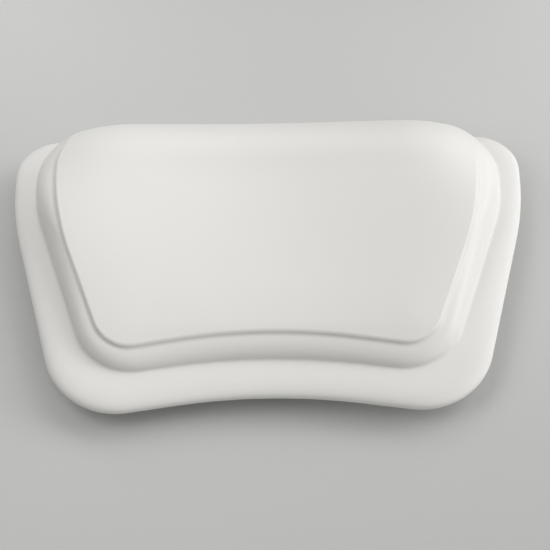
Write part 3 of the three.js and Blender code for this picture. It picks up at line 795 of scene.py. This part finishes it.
def makeStem(place, material):
    ribRadius = seat["boreRadius"] - seat["gap"]
    core, pitch = ribRadius - stem["ribDepth"], stem["length"] / (stem["ribs"] + 0.5)
    button, neck, collar = (stem[k] for k in ("buttonRadius", "neckRadius", "collarRadius"))
    profile = [(0, buttonLow), (button, buttonLow), (button, buttonTop), (neck, buttonTop), (neck, collarLow),
               (collar, collarLow), (collar, collarTop), (core, collarTop)]
    start, peak, end = stem["ribSteps"]
    for k in range(stem["ribs"]):
        profile += [(core, pitch * (k + start)), (ribRadius, pitch * (k + peak)), (core, pitch * (k + end))]
    profile += [(ribRadius - 2 * stem["ribDepth"], stem["length"]), (0, stem["length"])]
    # the button, the collar, the ribs and the tip
    rounded = [1, 2, 5, 6] + [9 + 3 * k for k in range(stem["ribs"])] + [len(profile) - 2]
    bm = placed(turnedBm(profile, rounded, stem["round"], stem["sides"]), place)
    piece = finishedPiece("stem." + place, bm, material, stem["sharpAngle"])
    standsFor(piece, "stem_" + place, place + "_stem")


def cupProfile():
    # under the dome from its top to the rim, then up the bell to the boss and into the button's pocket
    inner = cup["radius"] - cup["rimWidth"]
    turns = spread(cup["domeSteps"], 0, math.pi / 2)
    dome = [(inner * math.sin(t), rimLow + (domeTop - rimLow) * math.cos(t)) for t in turns]
    bossLow = domeTop + (cup["bell"] - cup["roof"]) / 2
    a = Vector((cup["radius"], rimLow + cup["rimThickness"]))
    b = Vector(((cup["radius"] + cup["bossRadius"]) / 2, (bossLow + rimLow) / 2 + cup["bell"]))
    c = Vector((cup["bossRadius"], bossLow + cup["bell"]))
    bell = [tuple(a.lerp(b, t).lerp(b.lerp(c, t), t)) for t in spread(cup["bellSteps"])]
    neck, button = stem["neckRadius"] + seat["gap"], stem["buttonRadius"] + seat["gap"]
    pocket = [(cup["bossRadius"], bossTop), (neck, bossTop), (neck, pocketTop),
              (button, pocketTop), (button, pocketLow)]
    # the rim's outer wall and the top of the boss are rounded
    rim = len(dome)
    rounded = [rim, rim + 1, rim + 1 + len(bell), rim + 2 + len(bell)]
    return dome + [(cup["radius"], rimLow)] + bell + pocket + [(0, pocketLow)], rounded


def onRimWall(facet, half):
    middle = facet.calc_center_median()
    beside = abs(middle.xy.length - cup["radius"] * mm) < cup["wallNear"] * mm
    return facet.normal.x > cup["wallFacing"] and abs(middle.y) < half * mm and beside


def addTab(bm):
    # pulls the rim's wall out into a tongue with a round end
    half = cup["tabWidth"] / 2
    wall = [f for f in bm.faces if onRimWall(f, half)]
    straight = cup["radius"] + cup["tabReach"] - half
    stops = [((cup["radius"] + straight) / 2, 1), (straight, 1)]
    turns = spread(cup["tabSteps"], 0, cup["tabEnd"])[1:]
    stops += [(straight + half * math.sin(t), math.cos(t)) for t in turns]
    low = rimLow + cup["tabClearance"]
    for x, share in stops:
        pulled = bmesh.ops.extrude_face_region(bm, geom=wall)["geom"]
        wall = [f for f in pulled if isinstance(f, bmesh.types.BMFace)]
        verts = [v for v in pulled if isinstance(v, bmesh.types.BMVert)]
        widest, lowest = max(abs(v.co.y) for v in verts), min(v.co.z for v in verts)
        highest = max(v.co.z for v in verts)
        for v in verts:
            up = (v.co.z - lowest) / (highest - lowest)
            v.co = Vector((x, v.co.y / widest * half * share, low + up * cup["tabThickness"])) * mm
    bmesh.ops.recalc_face_normals(bm, faces=bm.faces)


def makeCup(place, material):
    profile, rounded = cupProfile()
    bm = turnedBm(profile, rounded, cup["round"], cup["sides"])
    addTab(bm)
    if place.endswith("left"):
        bmesh.ops.rotate(bm, cent=(0, 0, 0), matrix=Matrix.Rotation(math.pi, 3, "Z"), verts=bm.verts)
    piece = finishedPiece("cup." + place, placed(bm, place), material, cup["sharpAngle"])
    standsFor(piece, "suction_cup_" + place, place + "_cup")


cupFinish = {"colour": linear(0.87, 0.885, 0.88), "milky": linear(0.80, 0.825, 0.82), "roughness": 0.16,
             "cloud": (70, 4), "cloudRough": 0.08, "fine": (1200, 2), "fineRough": 0.04,
             "bump": (0.3, 0.03 * mm), "index": 1.52, "through": 0.25}


def milkyVinyl():
    material, wire, surface, coords = newMaterial("milkyVinyl")
    look = cupFinish
    cloud = noiseOn(wire, coords, *look["cloud"])
    fine = noiseOn(wire, coords, *look["fine"])
    colour = mixColours(wire, cloud, look["milky"], look["colour"])
    roughness = look["roughness"] + cloud * look["cloudRough"] + fine * look["fineRough"]
    dress(wire, surface, colour, roughness, fine, look["bump"])
    surface.inputs["IOR"].default_value = look["index"]
    surface.inputs["Transmission Weight"].default_value = look["through"]
    return material


addCamera()
for lampName, lampSizes in lamps.items():
    addLight(lampName, **lampSizes)
addSky()
addFloor()
print("camera, lights and floor are set")

outer = pillowRings()
makeSkin(outer)
makeFoam(outer)
makeBack()
print("pillow:", len(outer), "rings of", roundCount, "points")

plateMaterial = mouldedPlastic("darkPlate", **plateFinish)
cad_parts["insert_plate"].material_slots[0].material = plateMaterial
seatMaterial = mouldedPlastic("whiteSeat", **seatFinish)
stemMaterial = mouldedPlastic("whiteStem", **stemFinish)
cupMaterial = milkyVinyl()
for place in places:
    makeSeat(place, seatMaterial)
    makeStem(place, stemMaterial)
    makeCup(place, cupMaterial)
print("seats, stems and cups:", len(places), "of each")

print("done")
